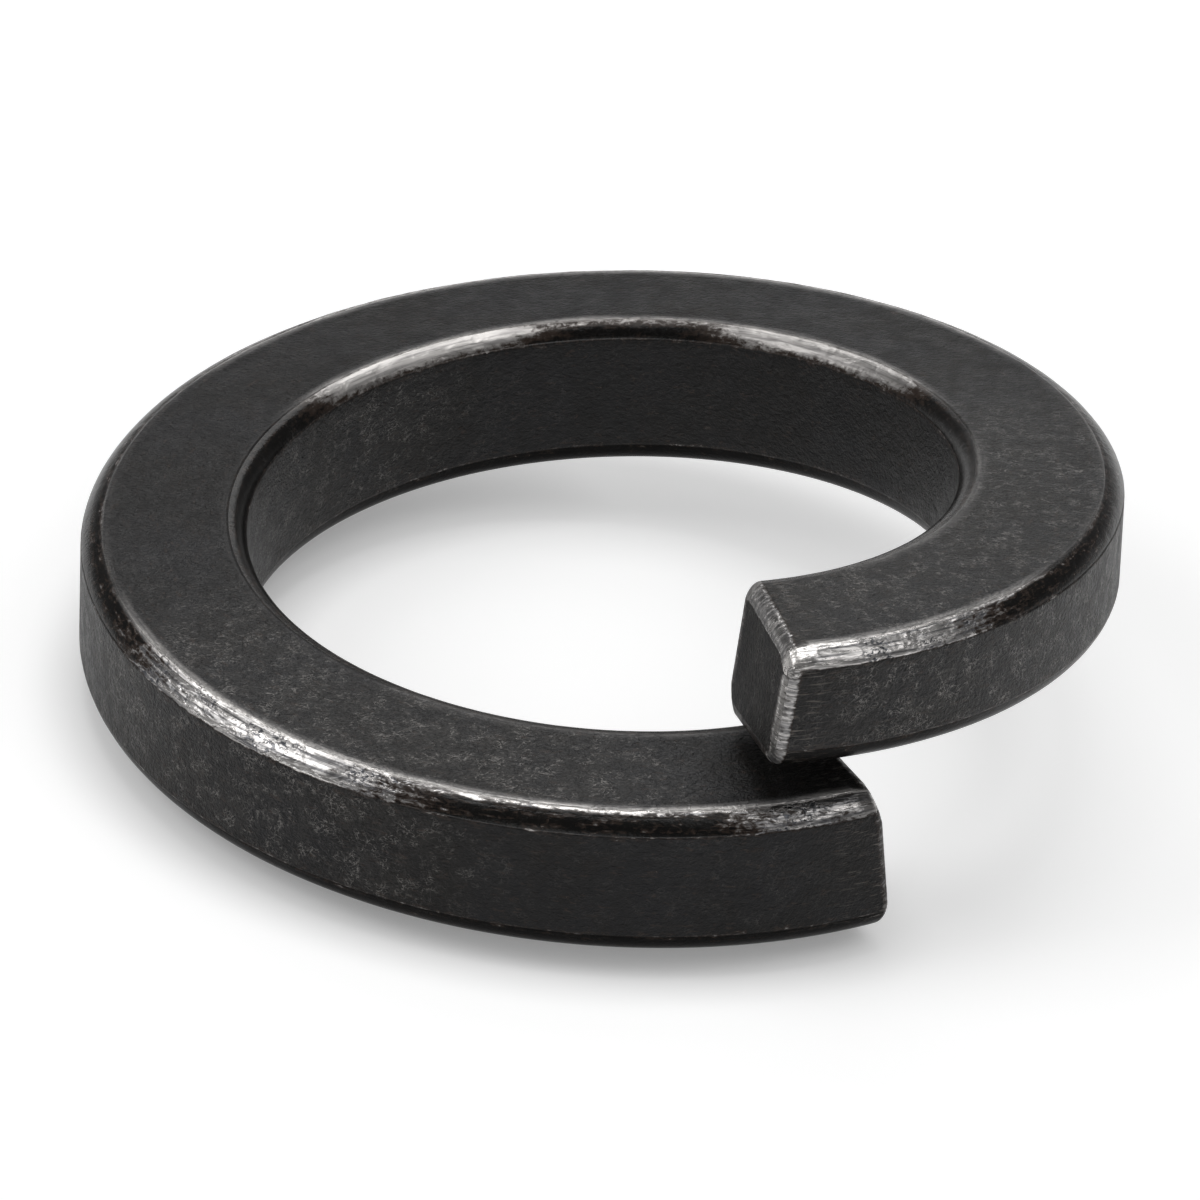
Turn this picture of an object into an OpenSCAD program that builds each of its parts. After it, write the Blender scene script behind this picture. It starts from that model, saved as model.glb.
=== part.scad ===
// Spring lock washer for an M24 thread: one turn of near-square steel wire,
// coiled left-handed, with its upper end hanging over its lower end.
// The axis of the bore is Z and the washer's lowest point is at Z = 0.

/* [Ring] */
// Diameter of the bore
bore_d = 24.5; // [22:0.1:27]

/* [Wire] */
// Width of the wire, from the bore to the outer wall
wire_w = 5.75; // [4:0.05:8]
// Height of the outer wall at the lower end
lower_h = 5.2; // [4:0.1:7]
// Height of the outer wall at the upper end, where the wire is a little thinner
upper_h = 4.4; // [3.6:0.1:7]
// How much higher the top face is at the bore than at the outer wall, lower end
top_slope_lower = 0.75; // [0:0.05:1.2]
// How much higher the top face is at the bore than at the outer wall, upper end
top_slope_upper = 0.15; // [0:0.05:1.2]
// How much lower the bottom face is at the bore than at the outer wall
bottom_slope = 0.6; // [0:0.05:1.2]

/* [Coil] */
// Angle that the wire sweeps, over 360 where the upper end hangs over the lower
sweep = 374; // [330:1:380]
// Gap between the upper end and the lower end's top face, measured at the bore
end_gap = 0.15; // [0.1:0.05:3]
// How much of the rise is held back to the last part of the turn
late_rise = 0.34; // [0:0.02:0.6]
// Direction of the lower end, seen from above
lower_dir = -55; // [-180:1:180]

/* [Edges] */
// Width of the outer top bevel on the top face
outer_bevel_w = 0.75; // [0.3:0.05:1.4]
// Depth of the outer top bevel on the outer wall
outer_bevel_h = 0.55; // [0.3:0.05:1.4]
// Width of the bore's top bevel on the top face
bore_bevel_w = 0.7; // [0.3:0.05:1.4]
// Depth of the bore's top bevel on the bore wall
bore_bevel_h = 0.45; // [0.3:0.05:1.4]
// Width and depth of both bottom bevels
bottom_bevel = 0.8; // [0.3:0.05:1.4]
// How far the bevels swell past their straight chord, as a share of their width
bevel_swell = 0.13; // [0.02:0.01:0.2]

/* [Ends] */
// Size of the worn bevel round each cut end
end_bevel = 0.5; // [0.2:0.05:0.9]
// Angle by which the lower end's foot stands out past its top edge
lower_lean = 7.1; // [0:0.1:15]
// Angle by which the upper end's foot stands out past its top edge
upper_lean = 7.7; // [0:0.1:15]
// Angle by which the lower end's cut turns back towards the outer wall
lower_skew = 4; // [-10:0.1:10]
// Angle by which the upper end's cut turns forward towards the outer wall
upper_skew = 4.6; // [-10:0.1:10]

/* [Hidden] */

bore_r = bore_d / 2;
outer_r = bore_r + wire_w;
mid_r = bore_r + wire_w / 2;

// Rings along the wire between its two cut ends
STATIONS = 120;
// Where a bevel's points lie between its face and its wall: the last one
// overshoots, so that the wall cuts the bevel off at a crisp corner
BEVEL_SHARES = [0, 0.25, 0.5, 0.75, 1.25];
// The same for the bevel round a cut end, from the face inwards
END_SHARES = [0, 0.3, 0.6, 0.85];
// Sides of the bore and the outer wall in a mesh of the part
WALL_SIDES = 120;

// Share of the coil at which the upper end passes over the lower end's cut
over = min(1, 360 / sweep);
// Height gained from the lower end to the upper end
rise = (wall_h(0) + slope(0, true) + slope(over, false) + end_gap) / (over - late_rise * over * (1 - over));

// Height of the wire's underside at the outer wall, u = 0 at the lower end, 1 at the upper
function lift(u) = rise * (u - late_rise * u * (1 - u));

// Height of the outer wall
function wall_h(u) = lower_h + (upper_h - lower_h) * u;

// Slope of the top or bottom face across the wire
function slope(u, top) = top ? top_slope_lower + (top_slope_upper - top_slope_lower) * u : bottom_slope;

// Bevel from a point on a face to a point on a wall, swelling outwards
function bevel(face, wall) =
    let (d = wall - face, out = [sign(d.x) * abs(d.y), -sign(d.y) * abs(d.x)])
    [for (k = BEVEL_SHARES) face + k * d + 4 * bevel_swell * k * (1 - k) * out];

function reversed(list) = [for (i = [len(list) - 1:-1:0]) list[i]];

// Outline of the wire as [radius, height] points, before its faces are sloped
function outline(h) = concat(
    bevel([outer_r - bottom_bevel, 0], [outer_r, bottom_bevel]),
    reversed(bevel([outer_r - outer_bevel_w, h], [outer_r, h - outer_bevel_h])),
    bevel([bore_r + bore_bevel_w, h], [bore_r, h - bore_bevel_h]),
    reversed(bevel([bore_r + bottom_bevel, 0], [bore_r, bottom_bevel])));

// Outline drawn in by a distance all round, as towards a cut end
function drawn_in(points, h, inset) = inset == 0 ? points :
    [for (p = points) [
        max(bore_r + inset, min(outer_r - inset, p.x)),
        h / 2 + (p.y - h / 2) * (1 - 2 * inset / h)]];

// One point of a ring: its place along the wire is the share between the two
// cuts, less or plus the distance back from a cut
function placed(p, h, share, back) =
    let (
        from_mid = p.x - mid_r,
        from_half = h / 2 - p.y,
        lower_cut = from_mid * tan(lower_skew) - from_half * tan(lower_lean) + back,
        upper_cut = from_mid * tan(upper_skew) + from_half * tan(upper_lean) - back,
        angle = asin(lower_cut / p.x) * (1 - share) + (sweep + asin(upper_cut / p.x)) * share,
        u = angle / sweep,
        across = (outer_r - p.x) / wire_w,
        up = p.y / h,
        z = lift(u) + p.y + across * (slope(u, true) * up - slope(u, false) * (1 - up)),
        dir = lower_dir - angle)
    [p.x * cos(dir), p.x * sin(dir), z];

// A ring of points round the wire
function ring(share, back, inset) =
    let (h = wall_h(share))
    [for (p = drawn_in(outline(h), h, inset)) placed(p, h, share, back)];

// Distance back from a cut, and how far the ring is drawn in there
function end_back(k) = end_bevel * (1 - k) - 2 * bevel_swell * k * (1 - k) * end_bevel;
function end_inset(k) = end_bevel * k - 2 * bevel_swell * k * (1 - k) * end_bevel;
function end_ring(share, k) = ring(share, end_back(k), end_inset(k));

rings = concat(
    [for (k = concat([1], reversed(END_SHARES))) end_ring(0, k)],
    [for (i = [1:STATIONS - 1]) ring(i / STATIONS, end_bevel, 0)],
    [for (k = concat(END_SHARES, [1])) end_ring(1, k)]);

// Lowest and highest points of the wire; the lowest rests at Z = 0
heights = [for (r = rings) for (p = r) p.z];
floor_z = min(heights);
top_z = max(heights) - floor_z;

// Middle of a ring
function centre(r) = [for (axis = [0:2]) [for (p = r) p[axis]] * [for (p = r) 1] / len(r)];

// Two triangles for each side of the outline, between each ring and the next
function sides(count, rows) =
    [for (i = [0:rows - 2], j = [0:count - 1])
        let (
            a = i * count + j,
            b = i * count + (j + 1) % count)
        each [[a + count, b + count, b], [a + count, b, a]]];

// The wire as it is coiled, a little too wide for its two walls
module coiled_wire() {
    count = len(rings[0]);
    last = (len(rings) - 1) * count;
    first_centre = last + count;
    polyhedron(
        points = concat([for (r = rings) each r], [centre(rings[0]), centre(rings[len(rings) - 1])]),
        faces = concat(
            sides(count, len(rings)),
            [for (j = [0:count - 1]) [first_centre, j, (j + 1) % count]],
            [for (j = [0:count - 1]) [first_centre + 1, last + (j + 1) % count, last + j]]));
}

// The ring of space between the outer wall and the bore, well past the wire's height
module wall_cylinders() {
    difference() {
        cylinder(r = outer_r, h = 3 * top_z, center = true, $fn = WALL_SIDES);
        cylinder(r = bore_r, h = 4 * top_z, center = true, $fn = WALL_SIDES);
    }
}

module lock_washer() {
    color("dimgray")
    intersection() {
        translate([0, 0, -floor_z])
            coiled_wire();
        wall_cylinders();
    }
}

lock_washer();
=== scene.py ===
import math

import bmesh
import bpy
from mathutils import Matrix, Vector, noise


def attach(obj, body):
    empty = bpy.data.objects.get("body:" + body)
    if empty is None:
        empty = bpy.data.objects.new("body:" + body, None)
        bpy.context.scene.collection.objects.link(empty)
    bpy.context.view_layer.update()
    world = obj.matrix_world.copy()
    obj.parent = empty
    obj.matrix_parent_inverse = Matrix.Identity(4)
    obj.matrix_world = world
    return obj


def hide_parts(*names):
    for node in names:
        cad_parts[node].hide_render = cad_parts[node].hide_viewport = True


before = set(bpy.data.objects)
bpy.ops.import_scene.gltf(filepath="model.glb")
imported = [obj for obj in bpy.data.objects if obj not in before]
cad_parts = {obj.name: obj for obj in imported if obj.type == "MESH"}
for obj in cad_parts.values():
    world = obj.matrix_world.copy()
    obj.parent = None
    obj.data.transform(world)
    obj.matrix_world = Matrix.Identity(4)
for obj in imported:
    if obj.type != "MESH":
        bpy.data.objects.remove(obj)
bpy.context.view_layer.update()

MM = 0.001

# The washer's own sizes, in millimetres and degrees, as in the part's source
BORE_R = 12.25
WIRE_W = 5.75
OUTER_R = BORE_R + WIRE_W
MID_R = BORE_R + WIRE_W / 2
LOWER_H, UPPER_H = 5.2, 4.4
TOP_SLOPE_LOWER, TOP_SLOPE_UPPER = 0.75, 0.15
BOTTOM_SLOPE = 0.6
SWEEP = 374
END_GAP = 0.15
LATE_RISE = 0.34
LOWER_DIR = -55
END_BEVEL = 0.5
LOWER_LEAN, UPPER_LEAN = 7.1, 7.7
LOWER_SKEW, UPPER_SKEW = 4.0, 4.6
# Each long bevel's width on the face and depth on the wall
OUTER_TOP = (0.75, 0.55)
BORE_TOP = (0.70, 0.45)
BOTTOM = (0.80, 0.80)
SWELL = 0.13

# The wire as it is drawn, before it is wound: its length is the coil's at the
# middle of the section, and its height is the lower end's all along
LENGTH = math.radians(SWEEP) * MID_R
STATIONS = 620
# Points along each long bevel, its two creases among them
BEVEL_POINTS = 7
# How far a crease is worn round
CREASE_ROUND = 0.045
# Every flat side is longer than this, and every step of a bevel is shorter
FLAT_SIDE = 1.5
SIDE_CUTS = 11
# Steps of the quarter round at a cut end, in degrees
END_STEP = 10
# How far in from that quarter round the rings across the flat of a cut lie
CUT_RINGS = (0.04, 0.3, 0.8, 1.4)
# The outer top corner of each end is worn rounder: how often it is smoothed, and
# how far it reaches across the wire, down it and along it
CORNER_PASSES = 20
CORNER_ACROSS, CORNER_DOWN, CORNER_ALONG = 1.2, 1.0, 0.7
# Depth of the ripples where the finish is rubbed off
RIPPLE_DEPTH = 0.05


def lerp(a, b, t):
    return a + (b - a) * t


def clamp(x, low=0.0, high=1.0):
    return max(low, min(high, x))


def smooth(low, high, x):
    """0 at low and 1 at high, whichever of them is the greater."""
    t = clamp((x - low) / (high - low))
    return t * t * (3 - 2 * t)


def wall_h(u):
    return lerp(LOWER_H, UPPER_H, u)


def top_slope(u):
    return lerp(TOP_SLOPE_LOWER, TOP_SLOPE_UPPER, u)


OVER = min(1, 360 / SWEEP)
STACK = wall_h(0) + top_slope(0) + BOTTOM_SLOPE + END_GAP
RISE = STACK / (OVER - LATE_RISE * OVER * (1 - OVER))


def lift(u):
    return RISE * (u - LATE_RISE * u * (1 - u))


# ---------------------------------------------------------------- straight wire
def section_face(bm):
    """The wire's section as one face in the XZ plane: a rectangle with a swelling
    bevel at each corner. Returns its corners in order, bevel by bevel."""
    h = LOWER_H
    corners = (
        ((OUTER_R, 0), (-BOTTOM[0], 0), (0, BOTTOM[1])),
        ((OUTER_R, h), (0, -OUTER_TOP[1]), (-OUTER_TOP[0], 0)),
        ((BORE_R, h), (BORE_TOP[0], 0), (0, -BORE_TOP[1])),
        ((BORE_R, 0), (0, BOTTOM[1]), (BOTTOM[0], 0)),
    )
    points = []
    for at, first, last in corners:
        p = Vector(at) + Vector(first)
        q = Vector(at) + Vector(last)
        d = q - p
        out = Vector((d.y, -d.x))
        for k in range(BEVEL_POINTS):
            t = k / (BEVEL_POINTS - 1)
            points.append(p + d * t + out * 4 * SWELL * t * (1 - t))
    verts = [bm.verts.new((p.x, 0, p.y)) for p in points]
    bm.faces.new(verts)
    return verts


def straight_wire(bm):
    verts = section_face(bm)
    creases = [v for i, v in enumerate(verts) if i % BEVEL_POINTS in (0, BEVEL_POINTS - 1)]
    bmesh.ops.bevel(bm, geom=creases, offset=CREASE_ROUND, offset_type="OFFSET", segments=2,
                    profile=0.5, affect="VERTICES", material=-1)
    sides = [e for e in bm.edges if e.calc_length() > FLAT_SIDE]
    bmesh.ops.subdivide_edges(bm, edges=sides, cuts=SIDE_CUTS)
    start = bm.faces[:]
    if start[0].normal.y > 0:
        bmesh.ops.reverse_faces(bm, faces=start)
    bmesh.ops.translate(bm, verts=bm.verts[:], vec=(0, END_BEVEL, 0))
    made = bmesh.ops.extrude_face_region(bm, geom=start, use_keep_orig=True)
    moved = [g for g in made["geom"] if isinstance(g, bmesh.types.BMVert)]
    bmesh.ops.translate(bm, verts=moved, vec=(0, LENGTH - 2 * END_BEVEL, 0))
    bmesh.ops.recalc_face_normals(bm, faces=bm.faces)
    runs = [e for e in bm.edges if abs(e.verts[0].co.y - e.verts[1].co.y) > LENGTH / 2]
    bmesh.ops.subdivide_edges(bm, edges=runs, cuts=STATIONS - 1, use_grid_fill=True)
    for cap in [f for f in bm.faces if len(f.verts) > 4]:
        round_end(bm, cap)
    bmesh.ops.recalc_face_normals(bm, faces=bm.faces)
    wear_corners(bm)


def round_end(bm, cap):
    """A quarter round between the wire's sides and a cut, then rings across the cut."""
    turns = [math.radians(a) for a in range(END_STEP, 91, END_STEP)]
    steps = [(END_BEVEL * math.sin(a), END_BEVEL * (1 - math.cos(a))) for a in turns]
    steps += [(END_BEVEL, END_BEVEL + ring) for ring in CUT_RINGS]
    way = 1 if cap.normal.y > 0 else -1
    end = END_BEVEL if way < 0 else LENGTH - END_BEVEL
    before = 0.0
    for out, inset in steps:
        made = bmesh.ops.extrude_face_region(bm, geom=[cap])
        bmesh.ops.delete(bm, geom=[cap], context="FACES_ONLY")
        cap = [g for g in made["geom"] if isinstance(g, bmesh.types.BMFace)][0]
        wide = (WIRE_W - 2 * inset) / (WIRE_W - 2 * before)
        high = (LOWER_H - 2 * inset) / (LOWER_H - 2 * before)
        for v in cap.verts:
            v.co.x = MID_R + (v.co.x - MID_R) * wide
            v.co.z = LOWER_H / 2 + (v.co.z - LOWER_H / 2) * high
            v.co.y = end + way * out
        before = inset


def wear_corners(bm):
    for _ in range(CORNER_PASSES):
        worn = [v for v in bm.verts
                if v.co.x > OUTER_R - CORNER_ACROSS and v.co.z > LOWER_H - CORNER_DOWN
                and min(v.co.y, LENGTH - v.co.y) < CORNER_ALONG]
        bmesh.ops.smooth_vert(bm, verts=worn, factor=0.5, use_axis_x=True, use_axis_y=True,
                              use_axis_z=True)


# ---------------------------------------------------------------- winding
def wound(p):
    """Where a point of the straight wire lies once the wire is coiled, and at what
    angle along the coil."""
    r, y, z = p
    e = END_BEVEL
    share = clamp((y - e) / (LENGTH - 2 * e))
    back = min(y, LENGTH - y, e)
    h = wall_h(share)
    # the wall takes up the change in height, and the bevels keep their size
    z += (h - LOWER_H) * clamp((z - BOTTOM[1]) / (LOWER_H - BOTTOM[1] - OUTER_TOP[1]))
    from_mid = r - MID_R
    from_half = h / 2 - z
    lower_cut = (from_mid * math.tan(math.radians(LOWER_SKEW))
                 - from_half * math.tan(math.radians(LOWER_LEAN)) + back)
    upper_cut = (from_mid * math.tan(math.radians(UPPER_SKEW))
                 + from_half * math.tan(math.radians(UPPER_LEAN)) - back)
    lower = math.degrees(math.asin(lower_cut / r))
    upper = SWEEP + math.degrees(math.asin(upper_cut / r))
    angle = lower * (1 - share) + upper * share
    u = angle / SWEEP
    across = (OUTER_R - r) / WIRE_W
    up = z / h
    z += lift(u) + across * (top_slope(u) * up - BOTTOM_SLOPE * (1 - up))
    a = math.radians(LOWER_DIR - angle)
    return Vector((r * math.cos(a), r * math.sin(a), z)), angle


# ---------------------------------------------------------------- round the section
def nearest_on(path, p):
    """Distance along a closed path of 2-D points to the point nearest to p."""
    best, at, run = 1e9, 0.0, 0.0
    for i, a in enumerate(path):
        b = path[(i + 1) % len(path)]
        d = b - a
        t = clamp((p - a).dot(d) / d.length_squared)
        gap = (a + d * t - p).length_squared
        if gap < best:
            best, at = gap, run + d.length * t
        run += d.length
    return at


def outline_path():
    """The section's outline, the distances along it at which each bevel starts and
    ends, and its whole length."""
    bm = bmesh.new()
    path = [Vector((v.co.x, v.co.z)) for v in section_face(bm)]
    bm.free()
    marks, run = [], 0.0
    for i, a in enumerate(path):
        marks.append(run)
        run += (path[(i + 1) % len(path)] - a).length
    spans = list(zip(marks[::BEVEL_POINTS], marks[BEVEL_POINTS - 1::BEVEL_POINTS]))
    return path, spans, run


PATH, SPANS, AROUND = outline_path()
BOTTOM_OUTER, TOP_OUTER, TOP_BORE, BOTTOM_BORE = SPANS


def stroke(v, at, width):
    """A soft line along the wire at a distance round the section."""
    d = abs(v - at)
    d = min(d, AROUND - d)
    return math.exp(-((d / width) ** 2))


def within(v, span, soft=0.06):
    """1 inside a span round the section, 0 outside."""
    start, end = span
    return smooth(start - soft, start + soft, v) * (1 - smooth(end - soft, end + soft, v))


# ---------------------------------------------------------------- wear, and painted sheen and shade, along the coil
# Stretches of the coil as strength, middle, half length and fade, in degrees from
# the lower end. Bare: the finish is gone. Worn: it has gone thin.
BARE_OUTER = (
    (1, 76, 8, 22),
    (0.8, 4, 7, 14),
    (1, 372, 14, 20),
    (0.72, 196, 12, 20),
    (0.6, 246, 8, 18),
)
WORN_OUTER = ((1, 45, 30, 24), (1, 4, 20, 12), (1, 365, 18, 22), (0.8, 215, 45, 20))
BARE_BORE = ((1, 183, 11, 20), (1, 253, 10, 20))
WORN_BORE = ((1, 218, 44, 30),)
SHINY_OUTER = ((1, 50, 44, 24), (1, 365, 18, 22), (0.8, 215, 45, 20))
SHINY_BORE = ((1, 218, 50, 26), (0.6, 40, 20, 20), (0.6, 325, 20, 20))
SCUFFED_WALL = ((1.1, 78, 16, 26), (1.3, 340, 18, 26))
SCUFFED_BORE = ((1, 150, 25, 30),)
SCUFFED_TOP = ((1, 55, 25, 50), (1, 345, 40, 50))
# The top of the lower end lies in shade under the upper end; its light scuffs fade out there to
# paint it darker: painted shade
SHADED_UNDER_UPPER_END = (12, 34)

# Finish gone from a bevel, at the least and where it is bare. On the bore's bevel
# the bare share grows from the wall to the face.
OUTER_GONE = (0.12, 0.80)
BORE_GONE_LEAST, BORE_GONE = 0.08, (0.42, 0.86)
# Finish gone from a bevel's upper part where it is worn, and the least wear there
OUTER_THIN, BORE_THIN = 0.60, 0.44
WORN_LEAST = 0.4
# Creases where the finish is worn thin all along, with how much
THIN_CREASES = (
    (TOP_OUTER[0], 0.32),
    (TOP_BORE[1], 0.32),
    (BOTTOM_OUTER[1], 0.36),
    (BOTTOM_BORE[0], 0.30),
)
THIN_WIDTH = 0.045

# Painted sheen and shade: how much the black finish shines, raised or lowered to stand in for the
# light that falls on each part; on the top face and on the outer wall by the angle along the coil,
# and on the bore's wall and the cuts
PAINTED_SHEEN_TOP = (
    (0, 1.3), (60, 1.38), (115, 1.42), (165, 1.05), (215, 0.85), (290, 1.08), (374, 1.28),
)
PAINTED_SHEEN_WALL = (
    (0, 1.2), (40, 1.15), (78, 1.0), (150, 0.9), (250, 0.5), (300, 0.4), (340, 1.35), (374, 1.3),
)
PAINTED_SHEEN_BORE = 1.38
PAINTED_SHEEN_CUT = 1.3


def bump_at(x, centre, half, soft):
    """1 within half of centre, falling to 0 over soft."""
    return 1 - smooth(half, half + soft, abs(x - centre))


def stretches(table, angle, least=0.0):
    return max(least, *(strength * bump_at(angle, *place) for strength, *place in table))


def along(points, x):
    """Value at x of a line drawn through points."""
    for (x0, y0), (x1, y1) in zip(points, points[1:]):
        if x <= x1:
            return lerp(y0, y1, clamp((x - x0) / (x1 - x0)))
    return points[-1][1]


def rubbed(v, angle):
    """How far the black finish is rubbed off the wire's edges, 0 to 1, at a distance
    v round the section and an angle along the coil."""
    outer = within(v, TOP_OUTER)
    bore = within(v, TOP_BORE)
    rise_outer = clamp((v - TOP_OUTER[0]) / (TOP_OUTER[1] - TOP_OUTER[0]))
    rise_bore = clamp((TOP_BORE[1] - v) / (TOP_BORE[1] - TOP_BORE[0]))
    upper_outer = smooth(0.50, 0.95, rise_outer)
    upper_bore = smooth(0.38, 0.66, rise_bore)
    bore_gone = lerp(*BORE_GONE, smooth(0.0, 0.6, rise_bore))
    return max(
        outer * lerp(*OUTER_GONE, stretches(BARE_OUTER, angle)),
        outer * upper_outer * stretches(WORN_OUTER, angle, WORN_LEAST) * OUTER_THIN,
        bore * lerp(BORE_GONE_LEAST, bore_gone, stretches(BARE_BORE, angle)),
        bore * upper_bore * stretches(WORN_BORE, angle, WORN_LEAST) * BORE_THIN,
        *(stroke(v, at, THIN_WIDTH) * share for at, share in THIN_CREASES),
    )


def shined(v, angle, back):
    """How brightly the steel shines where it is worn smooth, 0 to 1: along the top
    creases, on the outer corner of each end and down the cut's edge below it."""
    upper = angle > SWEEP / 2
    outer = stretches(SHINY_OUTER, angle, 0.25)
    bore = stretches(SHINY_BORE, angle, 0.2)
    corner = within(v, TOP_OUTER, 0.16) * smooth(1.0, 0.45, back) * (1.0 if upper else 0.35)
    wall = within(v, (BOTTOM_OUTER[0], TOP_OUTER[1]))
    lip = wall * bump_at(back, 0.02, 0.03, 0.06) * (0.8 if upper else 0.3)
    outer_crease = stroke(v, TOP_OUTER[1], 0.09) * outer
    bore_crease = stroke(v, TOP_BORE[0], 0.12) * bore * 0.65
    return max(outer_crease, bore_crease, corner, lip)


def rubbed_end(v, angle, back):
    """How far the finish is rubbed off the bevel round a cut end, and off the corner
    where it meets the outer top bevel."""
    upper = angle > SWEEP / 2
    on_top = within(v, (TOP_OUTER[0], TOP_BORE[1]), 0.2)
    on_wall = within(v, (BOTTOM_OUTER[0], TOP_OUTER[1]), 0.2)
    share = max(on_top * (0.66 if upper else 0.42), on_wall * (0.66 if upper else 0.36), 0.30)
    bevel = smooth(END_BEVEL + 0.02, END_BEVEL - 0.14, back)
    corner = within(v, TOP_OUTER, 0.1) * smooth(0.9, 0.3, back) * (0.95 if upper else 0.55)
    return max(bevel * share, corner)


def painted_sheen_at(v, angle):
    """Painted sheen and shade: how much the black finish shines, raised on some stretches of the
    coil and lowered on others to stand in for the light that falls there.
    """
    wall = within(v, (BOTTOM_OUTER[0], TOP_OUTER[0]), 0.2)
    bore = within(v, (TOP_BORE[1], BOTTOM_BORE[1]), 0.2)
    return lerp(lerp(along(PAINTED_SHEEN_TOP, angle), along(PAINTED_SHEEN_WALL, angle), wall), PAINTED_SHEEN_BORE, bore)


def scuffed(v, angle):
    """How thickly the sides are covered in light scuffs."""
    wall = within(v, (BOTTOM_OUTER[1], TOP_OUTER[0]), 0.2)
    bore = within(v, (TOP_BORE[1], BOTTOM_BORE[0]), 0.2)
    top = within(v, (TOP_OUTER[1], TOP_BORE[0]), 0.2)
    on_top = stretches(SCUFFED_TOP, angle, 0.12) * smooth(*SHADED_UNDER_UPPER_END, angle)
    return (wall * stretches(SCUFFED_WALL, angle, 0.22)
            + bore * stretches(SCUFFED_BORE, angle, 0.15) + top * on_top)


# What the finish reads from the mesh, each 0 where it has no effect:
# rub      finish rubbed off the long edges
# tip      finish rubbed off round the cut ends
# scuff    light scuffs on the sides
# edge     on any long bevel
# near     close to a cut end
# cut      on the flat of a cut
# shine    worn smooth and bright
# painted_shade_under  on a bottom bevel, where the finish's shine is lowered: painted shade
# soft     on the bore's top bevel, whose wear has soft edges
# painted_sheen  painted sheen and shade: shine of the black finish, raised or lowered along the
# coil to stand in for light
WEAR_AND_PAINTED_LIGHT_MAPS = ("rub", "tip", "scuff", "edge", "near", "cut", "shine", "painted_shade_under", "soft", "painted_sheen")


def wear_and_painted_sheen_on_cut():
    return dict(scuff=0.45, near=0.25, cut=1.0, painted_sheen=PAINTED_SHEEN_CUT)


def wear_and_painted_light_on_sides(around, angle, back):
    return dict(
        rub=rubbed(around, angle),
        tip=rubbed_end(around, angle, back),
        scuff=scuffed(around, angle),
        edge=max(within(around, span) for span in SPANS),
        near=smooth(2.6, 0.5, back),
        shine=shined(around, angle, back),
        painted_shade_under=max(within(around, BOTTOM_OUTER), within(around, BOTTOM_BORE)),
        soft=within(around, TOP_BORE),
        painted_sheen=painted_sheen_at(around, angle),
    )


# ---------------------------------------------------------------- the piece
def at_end(y):
    return min(y, LENGTH - y) < 0.01


def build_washer():
    """Winds the straight wire, with its wear, its painted sheen and shade, and its unwound place on
    the mesh.
    Returns the piece, and how far it was lowered to stand on Z = 0."""
    bm = bmesh.new()
    straight_wire(bm)
    unwound = bm.loops.layers.uv.new("wire")
    maps = {name: bm.verts.layers.float.new(name) for name in WEAR_AND_PAINTED_LIGHT_MAPS}
    rub, tip = maps["rub"], maps["tip"]
    on_path, place, section = {}, {}, {}
    for v in bm.verts:
        p = v.co.copy()
        back = min(p.y, LENGTH - p.y)
        # how far in from the section's outline a point of a cut lies
        wide = max(abs(p.x - MID_R) / (WIRE_W / 2), abs(p.z - LOWER_H / 2) / (LOWER_H / 2))
        inward = (1 - wide) * LOWER_H / 2 if at_end(p.y) else 0.0
        key = (round(p.x, 4), round(p.z, 4))
        if key not in on_path:
            on_path[key] = nearest_on(PATH, Vector((p.x, p.z)))
        around = on_path[key]
        v.co, angle = wound(p)
        on_cut = inward > END_BEVEL + 0.03
        wear = wear_and_painted_sheen_on_cut() if on_cut else wear_and_painted_light_on_sides(around, angle, back)
        for name, share in wear.items():
            v[maps[name]] = share
        place[v] = (p.y, around)
        section[v] = (p.z, p.x)
    # winding the wire left-handed has turned the skin inside out
    bm.normal_update()
    bmesh.ops.recalc_face_normals(bm, faces=bm.faces)
    bm.normal_update()
    # handling has left shallow ripples where the finish is rubbed off
    for v in bm.verts:
        y, around = place[v]
        ripple = 0.5 + 0.5 * noise.fractal(Vector((y * 0.9, around * 2.2, 3.0)), 0.9, 2.0, 4)
        v.co -= v.normal * RIPPLE_DEPTH * clamp(ripple) * max(v[rub], 0.4 * v[tip])
        v.co *= MM
    for f in bm.faces:
        on_cut = all(v[tip] == 0.0 and at_end(place[v][0]) for v in f.verts)
        turns = [place[v][1] for v in f.verts]
        wraps = max(turns) - min(turns) > AROUND / 2
        for l in f.loops:
            y, around = place[l.vert]
            if wraps and around < AROUND / 2:
                around += AROUND
            l[unwound].uv = section[l.vert] if on_cut else (y, around)
        f.smooth = True
    bm.normal_update()
    drop = min(v.co.z for v in bm.verts)
    for v in bm.verts:
        v.co.z -= drop
    mesh = bpy.data.meshes.new("lock_washer_steel")
    bm.to_mesh(mesh)
    bm.free()
    piece = bpy.data.objects.new("lock_washer_steel", mesh)
    bpy.context.scene.collection.objects.link(piece)
    return piece, drop


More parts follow.
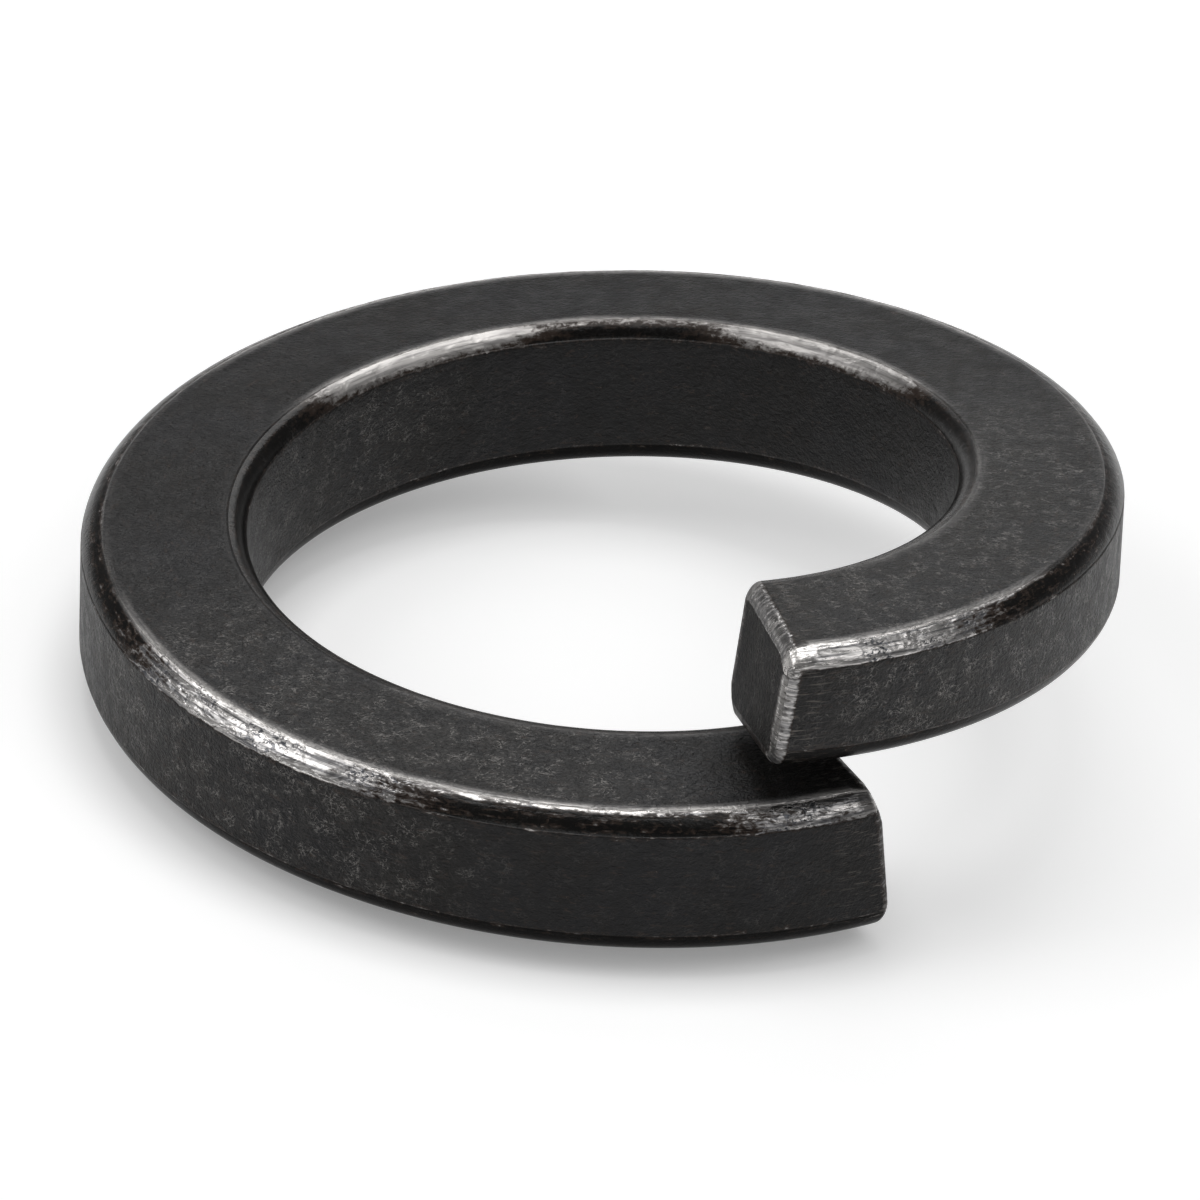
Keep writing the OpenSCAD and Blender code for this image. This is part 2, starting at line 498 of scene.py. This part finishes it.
# ---------------------------------------------------------------- materials
class Nodes:
    """Short hand for the node tree of a material or of the world."""

    def __init__(self, owner):
        owner.use_nodes = True
        self.tree = owner.node_tree
        self.tree.nodes.clear()

    def add(self, kind, ins=None, **props):
        n = self.tree.nodes.new("ShaderNode" + kind)
        for k, val in props.items():
            setattr(n, k, val)
        for k, val in (ins or {}).items():
            self.feed(n.inputs[k], val)
        return n

    def feed(self, socket, val):
        if isinstance(val, bpy.types.NodeSocket):
            self.tree.links.new(val, socket)
        else:
            socket.default_value = val

    def math(self, op, a, b=0.0, c=0.0, clamped=False):
        return self.add("Math", {0: a, 1: b, 2: c}, operation=op, use_clamp=clamped).outputs[0]

    def times(self, a, b):
        return self.math("MULTIPLY", a, b)

    def plus(self, a, b):
        return self.math("ADD", a, b)

    def less(self, a, b, clamped=False):
        return self.math("SUBTRACT", a, b, clamped=clamped)

    def most(self, a, b):
        return self.math("MAXIMUM", a, b)

    def scaled(self, x, by, offset, clamped=False):
        return self.math("MULTIPLY_ADD", x, by, offset, clamped)

    def span(self, x, low, high, to_low=0.0, to_high=1.0, kind="SMOOTHSTEP"):
        ins = {"Value": x, "From Min": low, "From Max": high, "To Min": to_low, "To Max": to_high}
        return self.add("MapRange", ins, interpolation_type=kind).outputs[0]

    def noise(self, at, scale, detail=3.0, rough=0.5, distortion=0.0):
        ins = {"Vector": at, "Scale": scale, "Detail": detail, "Roughness": rough,
               "Distortion": distortion}
        return self.add("TexNoise", ins).outputs[0]

    def stretch(self, at, scale, turn=(0, 0, 0)):
        return self.add("Mapping", {"Vector": at, "Scale": scale, "Rotation": turn}).outputs[0]

    def blend(self, share, a, b):
        """Colour a, with a share of colour b over it."""
        return self.add("Mix", {0: share, 6: a, 7: b}, data_type="RGBA").outputs[2]

    def pick(self, share, a, b):
        """Value a, with a share of value b in it."""
        return self.add("Mix", {0: share, 2: a, 3: b}, data_type="FLOAT").outputs[0]

    def attribute(self, name):
        return self.add("Attribute", attribute_name=name).outputs["Fac"]


WHITE = (1, 1, 1, 1)
# Black oxide: its two darks, a darker one on the bevels that paints the shade they show, and where
# it turns brown
OXIDE_WARM = (0.0070, 0.0065, 0.0062, 1)
OXIDE_COOL = (0.0088, 0.0088, 0.0098, 1)
OXIDE_EDGE_SHADE = (0.0042, 0.0038, 0.0036, 1)
OXIDE_BROWN = (0.0120, 0.0088, 0.0066, 1)
# Marks on it: the brown rim of a bare patch, a dusty haze, scuffs, scratches
RIM_BROWN = (0.052, 0.036, 0.028, 1)
HAZE_GREY = (0.060, 0.057, 0.054, 1)
SCUFF_GREY = (0.27, 0.258, 0.245, 1)
SCRATCH_GREY = (0.15, 0.138, 0.126, 1)
# Steel laid bare: in streaks, where it is rubbed most, in pits, on the bore's
# bevel, round the cut ends, and along the smooth creases
STEEL_DULL = (0.17, 0.168, 0.172, 1)
STEEL_PALE = (0.56, 0.54, 0.525, 1)
STEEL_BARE = (0.64, 0.62, 0.605, 1)
STEEL_PIT = (0.085, 0.088, 0.098, 1)
STEEL_BORE = (0.28, 0.268, 0.258, 1)
STEEL_END = (0.18, 0.176, 0.174, 1)
STEEL_CREASE = (0.80, 0.77, 0.74, 1)
# Specular level of the finish at a painted sheen of 1, and on the bottom bevels, where it is
# lowered so that they show the shade by the floor: painted shade
OXIDE_SPECULAR = 0.16
PAINTED_SHADE_SPECULAR = 0.03
# Roughness of the finish from blotch to blotch, on the bevels and on the cuts
OXIDE_ROUGH, EDGE_ROUGH, CUT_ROUGH = (0.34, 0.48), 0.20, 0.62
# Roughness of bare steel from dull to pale streaks, and how much rougher it is on
# the bore's bevel
STEEL_ROUGH, BORE_ROUGHER = (0.34, 0.24), 0.12
# Relief in millimetres, of which a noise uses about a tenth
WRINKLE_H, FLECK_H, MOTTLE_H, RIDGE_H = 0.075, 0.012, 0.06, 0.008
SCRATCH_H, DENT_H, PIT_H = 0.016, 0.15, -0.02
# Share of the finish's relief that is gone on bare steel and on the bevels
FLATTENED = 0.86


def steel_finish():
    """Black oxide on steel, scuffed on the sides and rubbed bare along the edges.
    Patterns of the finish lie in space, and those of the wear run along the wire."""
    material = bpy.data.materials.new("black_oxide_steel")
    n = Nodes(material)
    mm = n.stretch(n.add("TexCoord").outputs["Object"], (1000, 1000, 1000))
    wire = n.add("UVMap", uv_map="wire").outputs[0]
    maps = [n.attribute(name) for name in WEAR_AND_PAINTED_LIGHT_MAPS]
    rub, tip, scuff, edge, near, cut, shine, painted_shade_under, soft, painted_sheen = maps

    # black finish: soft blotches, cool and warm, with a fine wrinkle all over
    cloud = n.noise(mm, 0.22, 4, 0.6)
    mottle = n.noise(mm, 1.3, 5, 0.65)
    wrinkle = n.noise(n.stretch(mm, (0.8, 1.2, 1.2)), 5.0, 3, 0.55, 0.6)
    fleck = n.noise(mm, 11.0, 2, 0.6)
    brown = n.span(n.noise(n.stretch(mm, (1, 1, 1), (0, 0, 1)), 0.7, 6, 0.75), 0.52, 0.72)
    oxide = n.blend(n.span(cloud, 0.38, 0.62), OXIDE_WARM, OXIDE_COOL)
    # the bevels take a darker oxide: painted shade
    oxide = n.blend(edge, oxide, OXIDE_EDGE_SHADE)
    oxide = n.blend(n.times(brown, 0.5), oxide, OXIDE_BROWN)

    # scuffs: short curled hairs along the level lines of a noise, denser in patches
    def from_level_line(scale, squash, turn):
        field = n.noise(n.stretch(mm, squash, (0, 0, turn)), scale, 2, 0.55, 0.5)
        return n.math("ABSOLUTE", n.less(field, 0.5))

    first = from_level_line(4.0, (0.6, 1.2, 1.0), 0.10)
    second = from_level_line(3.2, (0.8, 1.3, 1.2), -0.6)
    patches = n.span(n.plus(n.noise(mm, 0.45, 5, 0.7), n.times(scuff, 0.32)), 0.50, 0.78)
    hair = n.most(n.span(first, 0.0, 0.024, 1, 0), n.span(second, 0.0, 0.020, 1, 0))
    hair = n.times(hair, n.span(n.noise(mm, 1.5, 4, 0.7), 0.44, 0.62))
    hair = n.times(hair, n.scaled(patches, 0.7, 0.3))
    hair = n.times(hair, n.scaled(scuff, 0.7, 0.12, clamped=True))
    ridges = n.plus(n.span(first, 0.0, 0.09, 1, 0), n.span(second, 0.0, 0.07, 1, 0))
    haze = n.times(patches, n.span(n.plus(mottle, n.times(fleck, 0.9)), 0.80, 1.15))
    haze = n.times(haze, n.scaled(scuff, 0.3, 0.08))

    # scratches along the wire, close to the cut ends
    rake = n.noise(n.stretch(wire, (0.9, 7.0, 1)), 1.6, 3, 0.6, 0.3)
    rake = n.times(n.span(rake, 0.56, 0.64), near)

    # where steel is bare: the edge of the wear is broken up by noise along the wire
    grain = n.noise(n.stretch(wire, (0.5, 3.0, 1)), 2.0, 4, 0.65)
    nibble = n.noise(n.stretch(wire, (1.0, 1.5, 1)), 3.4, 3, 0.6, 0.8)
    ragged = n.plus(n.times(grain, 0.5), n.times(nibble, 0.5))
    wear = n.most(rub, tip)
    calm = n.most(n.times(soft, 0.5), n.times(tip, 0.6))
    uneven = n.times(n.less(ragged, 0.5), n.scaled(calm, -2.4, 2.4))
    level = n.plus(n.plus(wear, uneven), n.times(rake, 0.10))
    rim = n.span(level, 0.12, 0.36)
    crease = n.times(n.math("POWER", shine, 1.5), n.span(ragged, 0.36, 0.52, 0.65, 1.0))
    bare = n.most(n.span(level, 0.34, 0.66), crease)

    # colour of the bare steel
    streak = n.noise(n.stretch(wire, (0.2, 3.2, 1)), 2.2, 3, 0.55)
    steel = n.blend(n.span(streak, 0.38, 0.62), STEEL_DULL, STEEL_PALE)
    steel = n.blend(n.times(n.span(rub, 0.66, 0.80), n.span(streak, 0.38, 0.56)), steel, STEEL_BARE)
    pit = n.span(n.noise(n.stretch(wire, (1.0, 1.4, 1)), 6.4, 2, 0.5, 0.6), 0.50, 0.40)
    pit = n.times(pit, n.span(n.noise(wire, 0.55, 3, 0.6), 0.42, 0.60))
    whole = n.most(n.most(crease, soft), n.most(tip, near))
    pit = n.times(pit, n.less(1.0, whole, clamped=True))
    steel = n.blend(pit, steel, STEEL_PIT)
    steel = n.blend(n.times(soft, 0.65), steel, STEEL_BORE)
    steel = n.blend(n.times(tip, 0.8), steel, STEEL_END)
    steel = n.blend(n.times(crease, 0.6), steel, STEEL_CREASE)

    # everything in its order, from the oxide up
    tint = n.blend(haze, oxide, HAZE_GREY)
    tint = n.blend(n.times(hair, 0.85), tint, SCUFF_GREY)
    tint = n.blend(n.times(rake, 0.7), tint, SCRATCH_GREY)
    tint = n.blend(n.times(rim, 0.5), tint, RIM_BROWN)
    tint = n.blend(bare, tint, steel)
    metal = n.most(bare, n.times(n.most(hair, rake), 0.5))
    rough = n.pick(n.span(mottle, 0.35, 0.65), *OXIDE_ROUGH)
    rough = n.pick(n.times(edge, 0.8), rough, EDGE_ROUGH)
    rough = n.pick(cut, rough, CUT_ROUGH)
    steel_rough = n.span(streak, 0.3, 0.7, *STEEL_ROUGH, "LINEAR")
    rough = n.pick(bare, rough, n.scaled(soft, BORE_ROUGHER, steel_rough))
    # painted sheen and shade: the finish's shine follows the painted sheen along the coil, and
    # drops on the bottom bevels to paint their shade
    specular = n.pick(painted_shade_under, n.times(painted_sheen, OXIDE_SPECULAR), PAINTED_SHADE_SPECULAR)

    # relief: wrinkles and ridges in the finish, dents and pits where it is rubbed
    height = n.plus(n.times(wrinkle, WRINKLE_H), n.times(fleck, FLECK_H))
    height = n.plus(height, n.times(mottle, MOTTLE_H))
    height = n.plus(height, n.times(ridges, RIDGE_H))
    height = n.times(height, n.scaled(n.most(bare, edge), -FLATTENED, 1.0))
    height = n.plus(height, n.times(rake, SCRATCH_H))
    dents = n.noise(n.stretch(wire, (0.5, 1.0, 1)), 1.6, 2, 0.5, 0.8)
    dents = n.times(n.times(dents, wear), n.less(1.0, n.most(shine, calm), clamped=True))
    height = n.plus(height, n.times(dents, DENT_H))
    height = n.plus(height, n.times(n.times(pit, bare), PIT_H))
    relief = n.add("Bump", {"Strength": 1.0, "Distance": MM, "Height": height})

    shader = n.add("BsdfPrincipled", {
        "Base Color": tint,
        "Metallic": metal,
        "Roughness": rough,
        "Specular IOR Level": specular,
        "Normal": relief.outputs[0],
    })
    n.add("OutputMaterial", {"Surface": shader.outputs[0]})
    return material


PAPER = (0.74, 0.74, 0.74, 1)
# Reach of the shading close to the washer, in metres
SHADE_REACH = 0.0025
# White that shows whatever the light is: in the open, and in the shading
GLOW_OPEN, GLOW_SHADED = 0.51, 0.16


def floor_finish():
    """White paper, part of whose white shows whatever the light on it is, except close
    to the washer, where the paper is shaded."""
    material = bpy.data.materials.new("white_floor")
    n = Nodes(material)
    paper = n.add("BsdfDiffuse", {"Color": PAPER, "Roughness": 1.0})
    open_sky = n.add("AmbientOcclusion", {"Distance": SHADE_REACH}, samples=2).outputs["AO"]
    rays = n.add("LightPath").outputs
    seen = n.most(n.most(rays["Is Camera Ray"], rays["Is Glossy Ray"]), rays["Is Transmission Ray"])
    glow = n.scaled(open_sky, GLOW_OPEN - GLOW_SHADED, GLOW_SHADED)
    white = n.add("Emission", {"Color": WHITE, "Strength": n.times(seen, glow)})
    both = n.add("AddShader", {0: paper.outputs[0], 1: white.outputs[0]})
    n.add("OutputMaterial", {"Surface": both.outputs[0]})
    return material


# ---------------------------------------------------------------- stage
# The washer lies tilted, as a coil does, so the floor slopes under it instead
FLOOR_SLOPE = Vector((-0.0476, 0.0309))
FLOOR_HALF = 4
LAMP_DISTANCE = 0.6
# Name, bearing in degrees clockwise from straight behind, elevation, size in
# metres, and brightness of the face
SOFTBOXES = (
    ("softbox_top", 0, 82, 0.30, 4.1),
    ("softbox_back", 2, 46, 0.34, 2.65),
    ("softbox_right", 108, 54, 0.30, 1.6),
    ("softbox_left", 264, 46, 0.30, 3.3),
    ("softbox_front", 186, 15, 0.26, 1.5),
)


def floor_rise(co):
    return FLOOR_SLOPE.x * co.x + FLOOR_SLOPE.y * co.y


def build_floor(piece):
    low = min(v.co.z - floor_rise(v.co) for v in piece.data.vertices)
    bm = bmesh.new()
    bmesh.ops.create_grid(bm, x_segments=1, y_segments=1, size=FLOOR_HALF)
    for v in bm.verts:
        v.co.z = low + floor_rise(v.co)
    mesh = bpy.data.meshes.new("floor")
    bm.to_mesh(mesh)
    bm.free()
    floor = bpy.data.objects.new("floor", mesh)
    bpy.context.scene.collection.objects.link(floor)
    mesh.materials.append(floor_finish())


def add_softbox(name, bearing, elevation, size, level):
    """A square lamp that faces the washer."""
    data = bpy.data.lights.new(name, "AREA")
    data.shape = "SQUARE"
    data.size = size
    data.energy = level * math.pi * size * size
    lamp = bpy.data.objects.new(name, data)
    b, e = math.radians(bearing), math.radians(elevation)
    d = Vector((math.sin(b) * math.cos(e), math.cos(b) * math.cos(e), math.sin(e)))
    lamp.location = d * LAMP_DISTANCE
    lamp.rotation_mode = "QUATERNION"
    lamp.rotation_quaternion = d.to_track_quat("Z", "Y")
    lamp.visible_camera = False
    bpy.context.scene.collection.objects.link(lamp)


# Heights of the view between which the backdrop gives way to the room, with the
# brightness of each
HORIZON = (0.08, 0.22)
BACKDROP, ROOM = 0.65, 0.13


def add_world():
    """A pale backdrop all round at the horizon, and a dim room over it."""
    world = bpy.data.worlds.new("tent")
    bpy.context.scene.world = world
    n = Nodes(world)
    parts = n.add("SeparateXYZ", {0: n.add("TexCoord").outputs["Generated"]})
    level = n.span(parts.outputs["Z"], *HORIZON, BACKDROP, ROOM)
    light = n.add("Background", {"Color": WHITE, "Strength": level})
    n.add("OutputWorld", {"Surface": light.outputs[0]})


# The camera, fitted to the photograph: angles in radians, distance and aim in
# outer radii, focal length and centre in pixels of a picture this wide
ELEVATION, ROLL = 0.4983, 0.0379
DISTANCE, AIM = 22.30, 0.2414
FOCAL_PX, CENTRE_X, CENTRE_Y = 11559.5, 598.6, 596.3
PICTURE = 1200
SENSOR = 36


def add_camera(drop):
    """The photograph's view: a long lens, a little above the washer."""
    outer = OUTER_R * MM
    data = bpy.data.cameras.new("camera")
    data.sensor_width = SENSOR
    data.lens = FOCAL_PX / PICTURE * SENSOR
    data.shift_x = (PICTURE / 2 - CENTRE_X) / PICTURE
    data.shift_y = (CENTRE_Y - PICTURE / 2) / PICTURE
    data.clip_start, data.clip_end = 0.01, 50
    right = Vector((1, 0, 0))
    ahead = Vector((0, math.cos(ELEVATION), -math.sin(ELEVATION)))
    up = Vector((0, math.sin(ELEVATION), math.cos(ELEVATION)))
    c, s = math.cos(ROLL), math.sin(ROLL)
    right, up = right * c + up * s, up * c - right * s
    eye = Vector((0, 0, AIM * outer - drop)) - ahead * (DISTANCE * outer)
    camera = bpy.data.objects.new("camera", data)
    turn = Matrix((right, up, -ahead)).transposed().to_4x4()
    camera.matrix_world = Matrix.Translation(eye) @ turn
    bpy.context.scene.collection.objects.link(camera)
    bpy.context.scene.camera = camera


washer, lowest = build_washer()
washer.data.materials.append(steel_finish())
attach(washer, "root")
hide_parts("lock_washer")
build_floor(washer)
add_camera(lowest)
add_world()
for softbox in SOFTBOXES:
    add_softbox(*softbox)
bpy.context.scene.view_settings.view_transform = "Standard"
